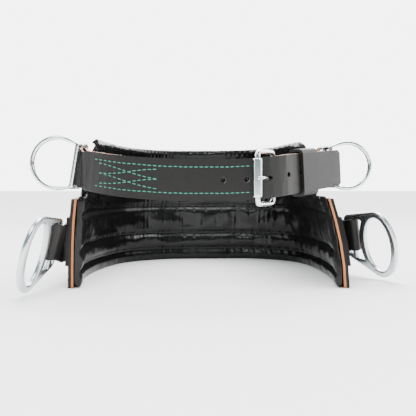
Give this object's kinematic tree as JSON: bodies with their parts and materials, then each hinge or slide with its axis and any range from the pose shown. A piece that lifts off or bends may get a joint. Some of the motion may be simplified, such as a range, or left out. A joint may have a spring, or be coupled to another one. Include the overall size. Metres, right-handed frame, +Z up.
{
  "type": "tree climbing saddle",
  "caption": "Padded leather climbing belt with a roller buckle at the front, round wire D-rings above and large forged D-rings below.",
  "frame": {"origin": "centre of the bounding box at the base", "axes": "+Z up, +Y towards the back of the saddle, +X to the right seen from the front"},
  "size_m": [0.4346, 0.3646, 0.1768],
  "materials": {
    "pad_leather": "soft glossy black garment leather",
    "harness_leather": "waxed dark brown-black harness leather",
    "raw_leather": "undyed russet leather, raw cut edge",
    "steel": "bright zinc plated steel",
    "forged_steel": "zinc plated forging"
  },
  "bodies": {
    "saddle": {"pad_cushion": "pad_leather", "band_liner": "raw_leather", "band_cover": "harness_leather", "dee_band": "harness_leather", "dee_strap": "harness_leather", "waist_strap": "harness_leather", "waist_loop_1": "harness_leather", "waist_loop_2": "harness_leather", "waist_loop_3": "harness_leather", "billet": "harness_leather", "buckle_strap": "harness_leather", "upper_dee_left": "steel", "upper_dee_right": "steel"},
    "keeper": {"keeper_loop": "harness_leather"},
    "buckle": {"buckle_frame": "steel"},
    "roller": {"buckle_roller": "steel"},
    "prong": {"buckle_prong": "steel"},
    "lower_dee_left": {"lower_dee_left": "forged_steel", "dee_tab_left": "harness_leather"},
    "lower_dee_right": {"lower_dee_right": "forged_steel", "dee_tab_right": "harness_leather"}
  },
  "joints": [
    {"name": "keeper_slide", "type": "slide", "parent": "saddle", "child": "keeper", "axis": [0.6732, 0.7347, 0.0836], "range_m": [-0.002, 0.008]},
    {"name": "buckle_lift", "type": "hinge", "parent": "saddle", "child": "buckle", "pos_m": [0.05689, -0.13886, 0.1284], "axis": [0, 0, 1], "range_deg": [0, 3]},
    {"name": "roller_spin", "type": "hinge", "parent": "buckle", "child": "roller", "pos_m": [0.03769, -0.16486, 0.1284], "axis": [0, 0, 1], "continuous": true},
    {"name": "prong_lift", "type": "hinge", "parent": "buckle", "child": "prong", "pos_m": [0.05689, -0.13886, 0.1284], "axis": [0, 0, 1], "range_deg": [0, 4]},
    {"name": "lower_dee_left_swing", "type": "hinge", "parent": "saddle", "child": "lower_dee_left", "pos_m": [-0.18875, -0.08835, 0.051], "axis": [0, 0, 1], "range_deg": [-35, 5]},
    {"name": "lower_dee_right_swing", "type": "hinge", "parent": "saddle", "child": "lower_dee_right", "pos_m": [0.1621, -0.00298, 0.051], "axis": [0, 0, 1], "range_deg": [-2, 40]}
  ]
}
